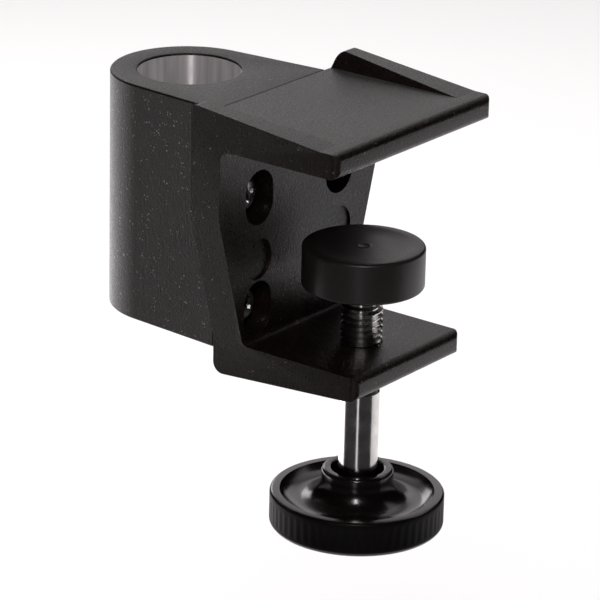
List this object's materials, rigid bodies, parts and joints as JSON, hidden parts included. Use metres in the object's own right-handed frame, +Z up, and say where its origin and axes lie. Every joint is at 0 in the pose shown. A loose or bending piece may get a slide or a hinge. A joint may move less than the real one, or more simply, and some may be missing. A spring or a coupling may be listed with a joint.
{
  "type": "desk clamp with post socket",
  "caption": "Desk-edge clamp: a C-shaped bracket with a screwed-on block whose vertical bore takes a post, and a screw spindle with a knob and a swivel pad.",
  "frame": {"origin": "on the axis of the post's bore, at the block's top face", "axes": "+Z up along the bore, +X from the bore out along the jaws, +Y across the bracket"},
  "size_m": [0.093, 0.061, 0.1071],
  "materials": {
    "bracket_coat": "fine-textured black powder coat on cast aluminium",
    "block_coat": "fine-textured black powder coat on cast aluminium, bore left bright",
    "screw_plating": "bright zinc plating",
    "spindle_plating": "bright zinc plating on rolled thread",
    "pad_plastic": "satin black moulded plastic",
    "ring_steel": "spring wire",
    "knob_plastic": "glossy black moulded plastic",
    "bush_steel": "turned steel"
  },
  "bodies": {
    "clamp": {"c_bracket": "bracket_coat", "socket_block": "block_coat", "block_screws": "screw_plating"},
    "ring": {"pad_snap_ring": "ring_steel"},
    "spindle": {"clamp_spindle": "spindle_plating", "knob": "knob_plastic", "knob_bush": "bush_steel"},
    "pad": {"swivel_pad": "pad_plastic"}
  },
  "joints": [
    {"name": "screw_feed", "type": "slide", "parent": "clamp", "child": "ring", "axis": [0, 0, 1], "range_m": [-0.0129, 0.005]},
    {"name": "spindle_spin", "type": "hinge", "parent": "ring", "child": "spindle", "pos_m": [0.053, 0, -0.04], "axis": [0, 0, 1], "range_deg": [-3096, 1200]},
    {"name": "pad_tilt", "type": "hinge", "parent": "ring", "child": "pad", "pos_m": [0.053, 0, -0.0382], "axis": [0, 1, 0], "range_deg": [-4, 4]}
  ],
  "couplings": [
    {"joint": "screw_feed", "follows": "spindle_spin", "m_per_rad": 0.00023873}
  ]
}
